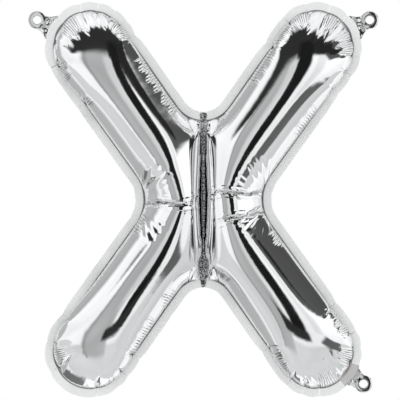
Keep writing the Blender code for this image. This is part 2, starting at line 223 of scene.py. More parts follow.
# The welds down the middle: heights along each, and half of its width there
WELDS = {
    "upper": ((45.5, 0.6), (49.5, 1.1), (56.0, 1.3), (77.0, 1.7)),
    "middle": ((-39.5, 0.9), (0.0, 1.2), (40.0, 0.9)),
    "lower": ((-78.5, 2.2), (-74.0, 2.9), (-68.0, 2.9), (-60.0, 1.8), (-50.0, 0.6)),
}


def arc(centre, radius, start, end, step):
    """Points along a circle's arc, with the first point and without the last."""
    count = max(2, round(abs(end - start) * radius / step))
    angles = [start + (end - start) * i / count for i in range(count)]
    return [(centre[0] + radius * math.cos(a), centre[1] + radius * math.sin(a)) for a in angles]


def line(start, end, step):
    """Points along a straight run, with the first point and without the last."""
    count = max(1, round(math.dist(start, end) / step))
    return [tuple(a + (b - a) * i / count for a, b in zip(start, end)) for i in range(count)]


def seam_quarter(shape, step):
    """The seam of the upper right arm, from the waist round the cap to the crotch."""
    tilt, taper = math.radians(shape["tilt"]), math.radians(shape["taper"])
    cap, waist, crotch, centre = shape["cap"], shape["waist"], shape["crotch"], shape["centre"]
    waist_side = (math.cos(tilt + taper), -math.sin(tilt + taper))
    crotch_side = (-math.cos(tilt - taper), math.sin(tilt - taper))
    waist_x = (np.dot(centre, waist_side) + cap + waist) / waist_side[0]
    crotch_z = (np.dot(centre, crotch_side) + cap + crotch) / crotch_side[1]
    points = arc((waist_x, 0), waist, math.pi, math.pi - tilt - taper, step)
    points += line((waist_x - waist * waist_side[0], -waist * waist_side[1]),
                   (centre[0] + cap * waist_side[0], centre[1] + cap * waist_side[1]), step)
    points += arc(centre, cap, -tilt - taper, math.pi - tilt + taper, step)
    points += line((centre[0] + cap * crotch_side[0], centre[1] + cap * crotch_side[1]),
                   (-crotch * crotch_side[0], crotch_z - crotch * crotch_side[1]), step)
    points += arc((0, crotch_z), crotch, taper - tilt, -math.pi / 2, step)
    points.append((0, crotch_z - crotch))
    return np.array(points)


def lengths_along(points):
    """How far along a run of points each one lies."""
    return np.concatenate(([0], np.cumsum(np.linalg.norm(np.diff(points, axis=0), axis=1))))


def way_out_of(path, run):
    """The way out of the letter at each point of a seam."""
    heading = np.gradient(path, run, axis=0)
    return np.stack((heading[:, 1], -heading[:, 0]), axis=1) / np.linalg.norm(heading, axis=1)[:, None]


def at_along(along, run, values):
    """The pair of values at lengths along a run of points, each of which has a pair."""
    return np.stack([np.interp(along, run, values[:, i]) for i in (0, 1)], axis=-1)


swollen_path = seam_quarter(SWOLLEN_SEAM, 0.25)
swollen_run = lengths_along(swollen_path)
way_out = way_out_of(swollen_path, swollen_run)
flat_path = seam_quarter(FLAT_SEAM, 0.25)
flat_run = lengths_along(flat_path)
kinks_of = {arm: [] for arm in ARMS}
flat_run_of = {}
wave_of = {}


def nearest_along(x, z, out=0.0):
    """How far along the swollen seam it passes nearest to a place, or a line does that runs further out."""
    return swollen_run[np.linalg.norm(swollen_path + out * way_out - np.abs((x, z)), axis=1).argmin()]


def crumpled(x, z, pitch):
    """The height, from -1 to 1, of sharp little folds that cross each other at places on a film."""
    total = 0
    for turn, share, shift in ((0.4, 1.0, 0.1), (1.5, 1.37, 0.6), (2.6, 0.81, 0.3)):
        phase = (x * math.cos(turn) + z * math.sin(turn)) * share / pitch + shift
        total = total + 4 * np.abs(phase - np.round(phase)) - 1
    return total / 3


def on_seam(arm, along, outward=0.0):
    """Places in the swollen letter, at lengths along an arm's swollen seam and out from it."""
    along = np.asarray(along, float)
    base, out = at_along(along, swollen_run, swollen_path), at_along(along, swollen_run, way_out)
    share_out = np.clip(np.asarray(outward) / SEAL_WIDTH, 0, 1)
    dip = np.zeros_like(along)
    lift = np.interp(along, swollen_run, wave_of[arm]) * share_out**1.5
    for at, strength, side, length in kinks_of[arm]:
        dip = np.maximum(dip, strength * np.exp(-np.abs(along - at) / KINK_DIP_LENGTH))
        lift += side * KINK_LIFT * length * np.clip(1 - np.abs(along - at) / KINK_HALF_LENGTH, 0, 1)
    flat = base + out * (np.asarray(outward) - dip * KINK_DIP * (0.45 + 0.55 * share_out))[..., None]
    x, z = ARMS[arm]
    at_crotch = np.exp(-((swollen_run[-1] - along) / CROTCH_CRUMPLE_LENGTH) ** 2)
    at_crotch = at_crotch * share_out * (1 if z > 0 else 0.3)
    lift = lift + CROTCH_CRUMPLE * at_crotch * crumpled(flat[..., 0], flat[..., 1], FINE_PITCH)
    return np.stack((x * flat[..., 0], lift, z * flat[..., 1]), axis=-1)


# The two films: metallised nylon 0.04 mm thick, which bends and crumples but doesn't stretch. Each is laid
# flat as it was cut, its seam is drawn in to the swollen letter's, and air pressure swells it. Spare film
# gathers in the creases, and in fine wrinkles along the seam.
#
# The swelling has four levels, each with its points half as far apart. For each level: how near the seam
# threads may slacken, how many steps it takes, over how many of them the seam is drawn in, how hard the air
# pushes, how fast the film comes to rest, and how stiffly it bends.
LEVELS = 4
COARSE = 7.2
SEAM_BAND = (22.0, 10.0, 0.0, 0.0)
STEPS = (800, 350, 220, 140)
DRAWING_IN = (250, 40, 40, 40)
PRESSURE = (0.004, 0.0015, 0.0006, 0.0003)
DAMPING = (0.01, 0.02, 0.04, 0.06)
BENDING = (0.04, 0.05, 0.06, 0.08)
# The last level makes the film finer only near its seam, creases and welds, and lets slack threads keep this
# share of their spare length, which crumples the film beside the seam
FINE_BAND = 15.0
CRUMPLE = 0.45
# How far the film keeps from the letter's middle line, across which it would fold, and from the other film
MIDDLE_GAP = 0.12
FILM_GAP = 0.05
# How far a kink's crease runs in from the seam, and how far apart the fine gathers beside the seam are
CREASE_REACH = 30
GATHER_PITCH = 3.1


def weld_outline(weld, step, grow=0.0):
    """The outline of a weld on the letter's middle line, anticlockwise, grown by a distance all round."""
    heights, halves = np.array(weld).T
    count = max(3, round((heights[-1] - heights[0] + 2 * grow) / step))
    rising = np.linspace(heights[0] - grow, heights[-1] + grow, count)
    half = np.interp(rising, heights, halves) + grow
    half[[0, -1]] = 0.6 * (halves[[0, -1]] + grow)
    right = list(zip(half, rising))
    return right + [(-x, z) for x, z in right[::-1]]


def inside(points, outline):
    """For each point, whether it lies in the outline."""
    found = np.zeros(len(points), bool)
    for (ax, az), (bx, bz) in zip(outline, outline[1:] + outline[:1]):
        crosses = (points[:, 1] < az) != (points[:, 1] < bz)
        if az != bz:
            found ^= crosses & (points[:, 0] < ax + (points[:, 1] - az) * (bx - ax) / (bz - az))
    return found


def distances(points, others):
    """How far each point is from the nearest of the others."""
    return np.linalg.norm(np.array(points)[:, None] - np.array(others)[None], axis=2).min(axis=1)


def from_line(points, start, end):
    """How far each point is from a line between two points."""
    start, run = np.array(start), np.subtract(end, start)
    along = np.clip((points - start) @ run / (run @ run), 0, 1)
    return np.linalg.norm(points - start - along[:, None] * run, axis=1)


def filled(name, outlines, free):
    """A flat mesh in the letter's plane, inside the first outline and outside the others, with corners on the
    outlines and at the free points."""
    corners, edges = [], []
    for outline in outlines:
        first = len(corners)
        edges += [(first + i, first + (i + 1) % len(outline)) for i in range(len(outline))]
        corners += [tuple(p) for p in outline]
    corners += [tuple(p) for p in free]
    places, _, triangles, *_ = delaunay_2d_cdt(corners, edges, [], 0, 1e-6)
    triangles = np.array(triangles)
    middles = np.array(places)[triangles].mean(axis=1)
    keep = inside(middles, outlines[0])
    for hole in outlines[1:]:
        keep &= ~inside(middles, hole)
    made = bpy.data.meshes.new(name)
    made.from_pydata([(x, 0, z) for x, z in corners], [], triangles[keep].tolist())
    return made


def flat_cut():
    """A coarse flat film as a mesh. Each corner keeps its place on the cut, how far along its arm's seam it
    lies, and which edge it is on: 0 for none, 1 for the seam, 2 for a weld. Beside each weld is a row of
    corners, and the rest lie in an even lattice."""
    quarter = seam_quarter(FLAT_SEAM, COARSE)
    run = lengths_along(quarter)
    run *= flat_run[-1] / run[-1]
    seam, along = [], []
    for (x, z), order in zip(ARMS.values(), (1, -1, 1, -1)):
        seam += [(x * p[0], z * p[1]) for p in quarter[::order][:-1]]
        along += list(run[::order][:-1])
    welds = [weld_outline(weld, 3.6) for weld in WELDS.values()]
    rows = [p for weld in WELDS.values() for p in weld_outline(weld, 4.4, 3.0)]
    across = np.arange(-190, 190, COARSE)
    rising = np.arange(-240, 240, COARSE * math.sqrt(0.75))
    lattice = np.array([(x + COARSE / 2 * (i % 2), z) for i, z in enumerate(rising) for x in across])
    keep = inside(lattice, seam) & (distances(lattice, seam) > 0.75 * COARSE)
    keep &= distances(lattice, rows) > 0.6 * COARSE
    for weld in WELDS.values():
        keep &= ~inside(lattice, weld_outline(weld, 4.0, 3.0))
    rows = [p for p, near in zip(rows, distances(rows, seam)) if near > 2.0]
    free = rows + [tuple(p) for p in lattice[keep]]
    film = filled("flat_cut", [seam] + welds, free)
    on_weld = sum(len(weld) for weld in welds)
    on_edge = [1] * len(seam) + [2] * on_weld + [0] * len(free)
    along += [0.0] * (on_weld + len(free))
    cut = np.array([vertex.co for vertex in film.vertices])
    for name, kind, values in (("cut", "FLOAT_VECTOR", cut), ("along", "FLOAT", np.array(along)),
                               ("edge", "FLOAT", np.array(on_edge))):
        layer = film.attributes.new(name, kind, "POINT")
        layer.data.foreach_set("vector" if kind == "FLOAT_VECTOR" else "value", values.ravel())
    return film


def finer(film, near=None):
    """Cuts every edge of a film in two, or only those near the seam and the folds."""
    shape = bmesh.new()
    shape.from_mesh(film)
    edges = shape.edges[:]
    if near is not None:
        faces = [face for face, wanted in zip(shape.faces, near) if wanted]
        edges = list({edge for face in faces for edge in face.edges})
    bmesh.ops.subdivide_edges(shape, edges=edges, cuts=1, use_grid_fill=True)
    bmesh.ops.triangulate(shape, faces=[face for face in shape.faces if len(face.verts) > 3])
    shape.to_mesh(film)
    shape.free()


def read(film, name):
    """The values that a film's corners keep under a name."""
    data = film.vertices if name == "co" else film.attributes[name].data
    if name in ("co", "cut"):
        values = np.empty(3 * len(data), np.float32)
        data.foreach_get("co" if name == "co" else "vector", values)
        return values.reshape(-1, 3)
    values = np.empty(len(data), np.float32)
    data.foreach_get("value", values)
    return values


def triangles_of(film):
    """The corners of each of a film's triangles."""
    values = np.empty(3 * len(film.polygons), np.int32)
    film.polygons.foreach_get("vertices", values)
    return values.reshape(-1, 3)


def seam_beside(points, arm, every=1):
    """For each point of the flat film, how far it is from an arm's seam, and which point of the seam, or of
    every few of them, is the nearest."""
    x, z = ARMS[arm]
    tree = KDTree(len(flat_path[::every]))
    for i, (a, b) in enumerate(flat_path[::every]):
        tree.insert((x * a, z * b, 0), i)
    tree.balance()
    found = [tree.find((a, b, 0)) for a, b in points]
    return np.array([f[2] for f in found]), np.array([every * f[1] for f in found])


def crossing(cut, pairs, creases):
    """For each pair of points, whether the line between them crosses a crease."""
    found = np.zeros(len(pairs), bool)
    a, b = cut[pairs[:, 0]], cut[pairs[:, 1]]
    for start, end, *_ in creases:
        p, q = np.array(start), np.array(end)

        def turn(u, v, w):
            one, other = v - u, w - u
            return one[..., 0] * other[..., 1] - one[..., 1] * other[..., 0]

        found |= (turn(p, q, a) * turn(p, q, b) < 0) & (turn(a, b, p) * turn(a, b, q) < 0)
    return found


def net_of(triangles, count):
    """A film as a net: its threads, the pairs of points that a hinge holds apart, the thread that each hinge
    folds about, and which points are on an edge."""
    sides = np.concatenate([triangles[:, (i, (i + 1) % 3)] for i in range(3)])
    opposite = np.concatenate([triangles[:, (i + 2) % 3] for i in range(3)])
    sides = np.sort(sides, axis=1)
    order = np.lexsort((sides[:, 1], sides[:, 0]))
    sides, opposite = sides[order], opposite[order]
    twin = (sides[1:] == sides[:-1]).all(axis=1)
    hinges = np.stack((opposite[:-1][twin], opposite[1:][twin]), axis=1)
    first = np.concatenate(([True], ~twin))
    edge = np.zeros(count, bool)
    edge[sides[first & np.concatenate((~twin, [True]))]] = True
    return sides[first], hinges, sides[:-1][twin], edge


def lengths_of(pairs, points):
    """How far apart the two points of each pair are."""
    return np.linalg.norm(points[pairs[:, 0]] - points[pairs[:, 1]], axis=1).astype(np.float32)


def tied(pairs, weight, stiffness, rest, least, most):
    """Pairs of points in groups in which no point comes twice, so that a group can be mended at once. Each
    has its length at rest, the least and most error to mend, and how much of it each end moves."""
    used = [0] * len(weight)
    group_of = []
    for a, b in pairs.tolist():
        free = ~(used[a] | used[b])
        bit = free & -free
        used[a] |= bit
        used[b] |= bit
        group_of.append(bit.bit_length())
    group_of = np.array(group_of)
    made = []
    for number in range(1, group_of.max() + 1):
        group = np.nonzero(group_of == number)[0]
        one, other = pairs[group, 0].copy(), pairs[group, 1].copy()
        total = np.maximum(weight[one] + weight[other], 1) / stiffness
        made.append((one, other, rest[group], least[group], most[group], (weight[one] / total)[:, None],
                     (weight[other] / total)[:, None]))
    return made


def swell(film, side, creases, level, sliding=False):
    """Blows a film up to its side of the seam: -1 is the front and 1 the back. Where the seam slides, it
    gives how far along the flat and the swollen seam each point of the seam comes to rest."""
    places, cut, along, on_edge = (read(film, name) for name in ("co", "cut", "along", "edge"))
    cut = cut[:, (0, 2)]
    triangles = triangles_of(film)
    count = len(places)
    threads, hinges, folding, edge = net_of(triangles, count)

    # The film's edges are drawn to where they end up: the welds stay, and the seam follows the letter's
    seam = np.nonzero(edge & (on_edge > 0.5) & (on_edge < 1.5))[0]
    start = places.copy()
    goal = start.copy()
    goal[edge, 0], goal[edge, 1], goal[edge, 2] = cut[edge, 0], 0, cut[edge, 1]
    signs = np.where(cut[seam] > 0, 1.0, -1.0)
    drawn = np.interp(along[seam], flat_run, flat_run * swollen_run[-1] / flat_run[-1])
    if not sliding:
        for arm, arm_signs in ARMS.items():
            mine = (signs == arm_signs).all(axis=1)
            drawn[mine] = np.interp(along[seam[mine]], flat_run_of[arm], swollen_run)
            goal[seam[mine]] = on_seam(arm, drawn[mine])
    ends = (along[seam] < 1e-3) | (along[seam] > flat_run[-1] - 1e-3)
    weight = np.where(edge, 0, 1).astype(np.float32)
    if sliding:
        weight[seam] = 1

    # Threads in or across a crease, or near the seam, may slacken, and a crease folds freely
    size = COARSE / 2**level
    near_seam = np.minimum.reduce([seam_beside(cut, arm, 4)[0] for arm in ARMS])
    from_crease = np.full(count, 99.0)
    in_crease = np.zeros(count, bool)
    for head, tail, half, peak in creases:
        apart = from_line(cut, head, tail)
        share = np.clip(((cut - head) @ np.subtract(tail, head)) / math.dist(head, tail) ** 2, 0, 1)
        width = half * np.interp(share, (0, peak, 1), (0, 1, 0)) if peak else half * (1 - share) ** 1.4
        from_crease = np.minimum(from_crease, apart)
        in_crease |= apart < np.maximum(width, 0.6 * size)
    slack = in_crease[threads].any(axis=1)
    slack |= (near_seam[threads] < SEAM_BAND[level]).all(axis=1)
    slack |= crossing(cut, threads, creases)
    least = np.where(slack, 0, -9).astype(np.float32)
    rest = lengths_of(threads, cut)
    if level == 3:
        now = lengths_of(threads, places)
        rest = np.where(slack, now + CRUMPLE * np.maximum(rest - now, 0), rest).astype(np.float32)
        least[:] = -9
    hinges = hinges[~in_crease[folding].any(axis=1)]
    linked = tied(threads, weight, 1.0, rest, least, np.full(len(threads), 9, np.float32))
    linked += tied(hinges, weight, BENDING[level], lengths_of(hinges, cut),
                   np.full(len(hinges), -9, np.float32), np.zeros(len(hinges), np.float32))

    # Each step pushes every triangle outwards, but for those in a crease, and then mends the threads
    press = 1 - 1.1 * np.exp(-(from_crease / max(2.0, 0.7 * size)) ** 2)
    push_share = (-side * PRESSURE[level] / (3 * math.sqrt(3) * size) * press[:, None]).astype(np.float32)
    a, b, c = triangles.T
    corner = np.concatenate((a, b, c))
    free = weight > 0
    free[seam] = False
    right, left = (cut[:, 0] > 0.5) & free, (cut[:, 0] < -0.5) & free
    speed = np.zeros_like(places)
    for step in range(STEPS[level]):
        square = np.cross(places[b] - places[a], places[c] - places[a])
        push = [np.bincount(corner, np.tile(square[:, i], 3), minlength=count) for i in range(3)]
        speed = speed * (1 - DAMPING[level]) + push_share * np.stack(push, axis=1).astype(np.float32)
        before = places
        places = places + speed
        share = min(1.0, (step + 1) / DRAWING_IN[level])
        if sliding:
            on_line = at_along(drawn, swollen_run, swollen_path) * signs
            goal[seam, 0], goal[seam, 1], goal[seam, 2] = on_line[:, 0], 0, on_line[:, 1]
        places[edge] = start[edge] + share * (goal[edge] - start[edge])
        for one, other, rest, low, high, share_one, share_other in linked:
            apart = places[one] - places[other]
            length = np.sqrt((apart * apart).sum(axis=1))
            error = np.clip(length - rest, low, high)
            apart *= (error / np.maximum(length, 1e-6))[:, None]
            places[one] -= share_one * apart
            places[other] += share_other * apart
        if sliding and share == 1:
            moved = (places[seam] - goal[seam])[:, (0, 2)] * signs
            ahead = at_along(drawn, swollen_run, way_out)
            slid = moved[:, 1] * ahead[:, 0] - moved[:, 0] * ahead[:, 1]
            drawn = np.where(ends, drawn, np.clip(drawn + slid, 0, swollen_run[-1]))
        places[right, 0] = np.maximum(places[right, 0], MIDDLE_GAP)
        places[left, 0] = np.minimum(places[left, 0], -MIDDLE_GAP)
        places[free, 1] = side * np.maximum(side * places[free, 1], FILM_GAP)
        speed = places - before
    film.vertices.foreach_set("co", places.astype(np.float32).ravel())
    return along[seam], drawn


def roughened(film, side, level, chance):
    """Shakes a film's free points a little, so that wrinkles have somewhere to start. Those along the seam
    lie square to it."""
    places = read(film, "co")
    free = read(film, "edge") < 0.5
    if level == 3:
        cut = read(film, "cut")[:, (0, 2)]
        for arm, (x, z) in ARMS.items():
            mine = np.nonzero(free & (np.sign(cut) == (x, z)).all(axis=1))[0]
            near, beside = seam_beside(cut[mine], arm)
            at = flat_run[beside]
            turn = 2 * math.pi * at / GATHER_PITCH + 1.3 * np.sin(at / 7.7 + x) + 0.8 * np.sin(at / 3.9 + z)
            calm = np.clip(at / 60 - 0.3, 0.15, 1)
            places[mine, 1] += 0.28 * calm * np.exp(-((near - 4) / 5) ** 2) * np.sin(turn)
    places[free] += chance.normal(0, 0.05 / 2**level, (free.sum(), 3)).astype(np.float32)
    if level == 0:
        flat = places[:, (0, 2)]
        places[:, 1] += side * 0.15 * np.minimum(20, distances(flat, flat[~free]))
    film.vertices.foreach_set("co", places.ravel())


# How the seam draws in by itself: a film is swollen with its seam free to slide along its own line. The
# spare length between two kinks then goes to them, but for a share that stays between them as gathers.
film = flat_cut()
roughened(film, -1, 0, np.random.default_rng(2))
waist_creases = {name: [(*crease, 0.3) for crease in found] for name, found in WAIST_CREASES.items()}
at_flat, at_swollen = swell(film, -1, waist_creases["front_film"], 0, sliding=True)
drawn_in = at_swollen / np.maximum(at_flat, 1e-6)
marks = np.linspace(0, flat_run[-1], 60)
drawn_to = [mark * np.average(drawn_in, weights=np.exp(-((at_flat - mark) / 6.0) ** 2)) for mark in marks]
drawn_to[0], drawn_to[-1] = 0.0, swollen_run[-1]
slope = np.clip(np.diff(drawn_to) / np.diff(marks), 0.3, 1.14)
slope *= swollen_run[-1] / np.sum(slope * np.diff(marks))
drawn_to = np.concatenate(([0], np.cumsum(slope * np.diff(marks))))

chance = np.random.default_rng(3)
for arm in ARMS:
    found = [(nearest_along(x, z, SEAL_WIDTH), strength, 1 if number % 3 else -1)
             for number, (x, z, strength, _) in enumerate(KINKS[arm])]
    at = np.array([0.0] + [kink[0] for kink in found] + [swollen_run[-1]])
    power = np.array([1e-6] + [kink[1] for kink in found] + [1e-6])
    flat_at = np.interp(at, drawn_to, marks)
    spare = np.maximum(np.diff(flat_at) - np.diff(at), 0)
    to_left = KINK_SHARE * spare * power[:-1] / (power[:-1] + power[1:])
    to_right = KINK_SHARE * spare * power[1:] / (power[:-1] + power[1:])
    gathered = np.append(to_left, 0) + np.insert(to_right, 0, 0)
    rate = (np.diff(flat_at) - to_left - to_right) / np.diff(at)
    taken = np.interp(swollen_run, at, np.concatenate(([0], np.cumsum(rate * np.diff(at)))))
    for (place, strength, ridge), length in zip(found, gathered[1:-1]):
        taken += length * (0.5 + 0.5 * np.clip((swollen_run - place) / KINK_HALF_LENGTH, -1, 1))
        kinks_of[arm].append((place, strength, ridge, length))
    flat_run_of[arm] = taken * flat_run[-1] / taken[-1]
    # The margin waves between its kinks and lies still at them, at the waist and at the crotch
    from_end = np.minimum(swollen_run, swollen_run[-1] - swollen_run)
    calm = from_end / 12
    for place, *_ in kinks_of[arm]:
        calm = np.minimum(calm, 0.15 + np.abs(swollen_run - place) / 8)
    knots = np.arange(0, 430, MARGIN_WAVE_STEP)
    rough = np.interp(swollen_run, knots, chance.normal(0, MARGIN_WAVE, len(knots)))
    window = np.hanning(48)
    wave = np.convolve(rough * np.clip(calm, 0, 1), window / window.sum(), "same")
    wave_of[arm] = wave * np.clip(from_end / 6, 0, 1)

# Each kink's crease runs in from the seam on the flat film, half as wide as the film that the kink takes up
flat_way_out = way_out_of(flat_path, flat_run)
kink_creases = []
for arm, signs in ARMS.items():
    for (place, strength, _, gathered), (*_, length) in zip(kinks_of[arm], KINKS[arm]):
        if length:
            where = np.interp(place, swollen_run, flat_run_of[arm])
            at, out = at_along(where, flat_run, flat_path), at_along(where, flat_run, flat_way_out)
            reach = CREASE_REACH * (0.6 + 0.4 * min(strength, 1.2)) if length > 14 else length
            kink_creases.append(((at + 2 * out) * signs, (at - reach * out) * signs, 0.5 * gathered + 0.4, 0))

# Bright nylon film, metallised in a vacuum: a mirror that shows each card sharply, with a faint waviness like
# that of any thin film under tension. The waves are some 7 mm long and a hundredth of a millimetre high, and
# the gloss varies over some 30 mm. Beside the seam the film gathers in puffs half a millimetre high.
FILM_WAVE = 0.007
WAVE_HEIGHT = 0.000012
HAZE = 0.03
GATHER_HEIGHT = 0.00055
# The film's own colour, and the painted shade that its valleys, folds and foot at the seam are mixed towards
BRIGHT, PAINTED_SHADE = "f3f4f5", "5c5f60"

metallised = bpy.data.materials.new("vacuum_metallised_nylon")
metallised.use_nodes = True
tree = metallised.node_tree
shader = tree.nodes["Principled BSDF"]
shader.inputs["Metallic"].default_value = 1
on_piece = add_node(tree, "ShaderNodeTexCoord").outputs["Object"]
waves = add_node(tree, "ShaderNodeTexNoise", Vector=on_piece, Scale=1 / FILM_WAVE, Detail=2.0).outputs["Fac"]
haze = add_node(tree, "ShaderNodeTexNoise", Vector=on_piece, Scale=1 / HAZE, Detail=3.0).outputs["Fac"]
rough = add_node(tree, "ShaderNodeMapRange", s0=haze, s1=0.35, s2=0.65, s3=0.03, s4=0.09).outputs[0]
wavy = add_node(tree, "ShaderNodeBump", Height=waves, Strength=1.0, Distance=WAVE_HEIGHT).outputs[0]
tree.links.new(rough, shader.inputs["Roughness"])
# A gather is a round puff between two sharp valleys, which mirror each other and so go darker. This darkness,
# and that of the sharp folds and of the film's foot at the seam, is painted shade, mixed into the base
# colour.
# The film's corners keep how many gathers come before them along the seam, how strong they are there, and how
# much painted shade a fold gives them.
gathers = add_node(tree, "ShaderNodeAttribute", {"attribute_name": "gathers"}).outputs["Vector"]
split = add_node(tree, "ShaderNodeSeparateXYZ", Vector=gathers)
turn = add_node(tree, "ShaderNodeMath", {"operation": "MULTIPLY"}, s0=split.outputs[0], s1=math.pi).outputs[0]
turn = add_node(tree, "ShaderNodeMath", {"operation": "SINE"}, s0=turn).outputs[0]
puff = add_node(tree, "ShaderNodeMath", {"operation": "ABSOLUTE"}, s0=turn).outputs[0]
height = add_node(tree, "ShaderNodeMath", {"operation": "MULTIPLY"}, s0=puff, s1=split.outputs[1]).outputs[0]
puffy = add_node(tree, "ShaderNodeBump", Height=height, Normal=wavy, Strength=1.0, Distance=GATHER_HEIGHT)
tree.links.new(puffy.outputs[0], shader.inputs["Normal"])
# Painted shade in the base colour, in the valleys between puffs and where the folds and the foot lie
valley = add_node(tree, "ShaderNodeMapRange", s0=puff, s1=0.1, s2=0.45, s3=0.75, s4=0.0).outputs[0]
valley = add_node(tree, "ShaderNodeMath", {"operation": "MULTIPLY"}, s0=valley, s1=split.outputs[1])
painted_shade_share = add_node(tree, "ShaderNodeMath", {"operation": "MAXIMUM"}, s0=valley.outputs[0], s1=split.outputs[2])
colour = add_node(tree, "ShaderNodeMix", {"data_type": "RGBA"}, s0=painted_shade_share.outputs[0], s6=hex_colour(BRIGHT),
                  s7=hex_colour(PAINTED_SHADE))
tree.links.new(colour.outputs[2], shader.inputs["Base Color"])

# Where fine gathers lie side by side along the seam, square to it: near these places, for this far each way
COMBS = {
    "upper_left": ((-139, 179, 12), (-88, 171, 14), (-140, 137, 15), (-57, 126, 18), (-38, 96, 10),
                   (-118, 99, 4)),
    "upper_right": ((82, 166, 14), (96, 190, 11), (133, 184, 10), (150, 160, 18), (72, 130, 22),
                    (104, 80, 16)),
    "lower_left": ((-151, -159, 9), (-66, -137, 20), (-30, -105, 9), (-56, -30, 10)),
    "lower_right": ((142, -127, 15), (82, -168, 18), (150, -162, 11), (127, -188, 10), (66, -46, 8)),
}
# How high these gathers stand, and how far in from the seam they run
COMB_HEIGHT = 0.3
COMB_REACH = 25.0
# How dark the painted shade in a fold goes, how deep the waist creases are, and how high the lips, the fine
# folds and the rumples beside them are
FOLD_SHADE = 0.8
WAIST_DEPTH, WAIST_LIPS, WAIST_FOLDS, WAIST_RUMPLE = 1.3, 0.5, 0.17, 0.22


def combed(film, creases):
    """Presses fine gathers and the waist creases into a film, and notes for its material where they are and
    how much painted shade they give.
    """
    film.update()
    normals = np.empty(3 * len(film.vertices), np.float32)
    film.vertices.foreach_get("normal", normals)
    normals = normals.reshape(-1, 3)
    places, cut = read(film, "co"), read(film, "cut")[:, (0, 2)]
    free = read(film, "edge") < 0.5
    gathers = np.zeros((len(places), 3))
    for arm, signs in ARMS.items():
        mine = np.nonzero((np.sign(cut) == signs).all(axis=1))[0]
        near, beside = seam_beside(cut[mine], arm)
        at = flat_run[beside]
        turns, strongest = np.zeros(len(mine)), np.zeros(len(mine))
        for x, z, half in COMBS[arm]:
            off = at - np.interp(nearest_along(x, z), swollen_run, flat_run_of[arm])
            strength = np.clip((half + 1.5 - np.abs(off)) / 3, 0, 1)
            turns = np.where(strength > strongest, off / GATHER_PITCH + 0.08 * np.sin(off / 4.0), turns)
            strongest = np.maximum(strongest, strength)
        strongest *= np.clip((COMB_REACH + 3 * np.sin(at / 2.1) - near) / 9, 0, 1)
        # The film's foot at the seam gets painted shade, darkest along the arms' sides; the caps bulge over
        # it
        on_side = np.clip((np.abs(flat_way_out[beside, 0]) - 0.45) / 0.25, 0.15, 1)
        gathers[mine, 0] = turns
        gathers[mine, 1] = strongest
        gathers[mine, 2] = FOLD_SHADE * on_side * np.clip((4.2 - near) / 1.6, 0, 1)
        pressed = -0.5 * COMB_HEIGHT * strongest * np.clip(near / 2.5, 0, 1) * np.cos(2 * math.pi * turns)
        pressed *= np.clip((FINE_BAND - near) / 4, 0, 1)
        places[mine] += (free[mine] * pressed)[:, None] * normals[mine]
    for start, end, half, _ in creases:
        start, end = np.array(start, float), np.array(end, float)
        length = np.linalg.norm(end - start)
        way = (end - start) / length
        along, off = (cut - start) @ way, (cut - start) @ np.array((-way[1], way[0]))
        off = off + 0.9 * np.sin(along / 7) + 0.5 * np.sin(along / 2.9 + 1)
        taper = np.clip((along + 2) / 6, 0, 1) * np.clip((length - along) / (0.6 * length), 0, 1)
        beside = np.abs(off) / (half + 5)
        pressed = WAIST_RUMPLE * crumpled(along * 1.2, off, 4.2) * np.clip(1.2 - beside, 0, 1)
        folds = np.cos(2 * math.pi * (off + 0.5 * np.sin(along / 3.3)) / FINE_PITCH)
        pressed = pressed + WAIST_FOLDS * (folds * np.clip(1.4 - beside, 0, 1))
        pressed = pressed + WAIST_LIPS * np.exp(-((np.abs(off) - half - 1) / 1.6) ** 2)
        pressed = pressed - WAIST_DEPTH * np.clip(1 - np.abs(off) / half, 0, 1)
        places += (free * taper * pressed)[:, None] * normals
        # Painted shade along the bottom of each waist crease
        gathers[:, 2] = np.maximum(gathers[:, 2], FOLD_SHADE * taper * np.clip(1 - np.abs(off) / 1.3, 0, 1))
    film.vertices.foreach_set("co", places.ravel())
    kept = film.attributes.new("gathers", "FLOAT_VECTOR", "POINT")
    kept.data.foreach_set("vector", gathers.astype(np.float32).ravel())


def wants_finer(film, creases):
    """Which of a film's triangles lie near the seam, a crease or a weld."""
    middles = read(film, "cut")[triangles_of(film)].mean(axis=1)[:, (0, 2)]
    near = np.minimum.reduce([seam_beside(middles, arm, 4)[0] for arm in ARMS]) < FINE_BAND
    for start, end, half, _ in creases:
        near |= from_line(middles, start, end) < half + 5
    return near | (np.abs(middles[:, 0]) < 12) & (np.abs(middles[:, 1]) < 90)


for name, side, seed in (("front_film", -1, 5), ("back_film", 1, 11)):
    film = flat_cut()
    film.name = name
    creases = kink_creases + waist_creases[name]
    chance = np.random.default_rng(seed)
    for level in range(LEVELS):
        if level:
            finer(film, wants_finer(film, creases) if level == 3 else None)
        roughened(film, side, level, chance)
        swell(film, side, creases, level)
    if LEVELS == 4:
        combed(film, waist_creases[name])
    flat = read(film, "cut")[:, (0, 2)][triangles_of(film)]
    places = read(film, "co") / 1000
    places[:, 2] += LETTER_MIDDLE
    film.vertices.foreach_set("co", places.ravel())
    if side > 0:
        film.flip_normals()
    film.shade_smooth()
    film.materials.append(metallised)
    piece = bpy.data.objects.new(name + "_skin", film)
    bpy.context.scene.collection.objects.link(piece)
    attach(piece, "root")
    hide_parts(name)

# The sealed margin: the two films welded flat outside the seam, 9.5 mm wide to the cut edge. It follows the
# seam, with a pleat across it at each kink, and ends at either side of the valve. It is drawn thicker than
# it is, so that its edge shows.
FILM_PAIR = 0.00026
VALVE_LENGTH = 20.7
VALVE_ARM = "lower_right"
MARGIN_ROWS = (-1.6, -0.6, 0.0, 1.4, 3.2, 5.2, 7.2, 8.8, 9.5)
# The cloth of the sealing bar leaves a fine grain in the film
SEAL_GRAIN = 0.0012
# How far a tab's hole lies from the tab's two outer sides, in metres
HOLE_TO_SIDE = 0.0091


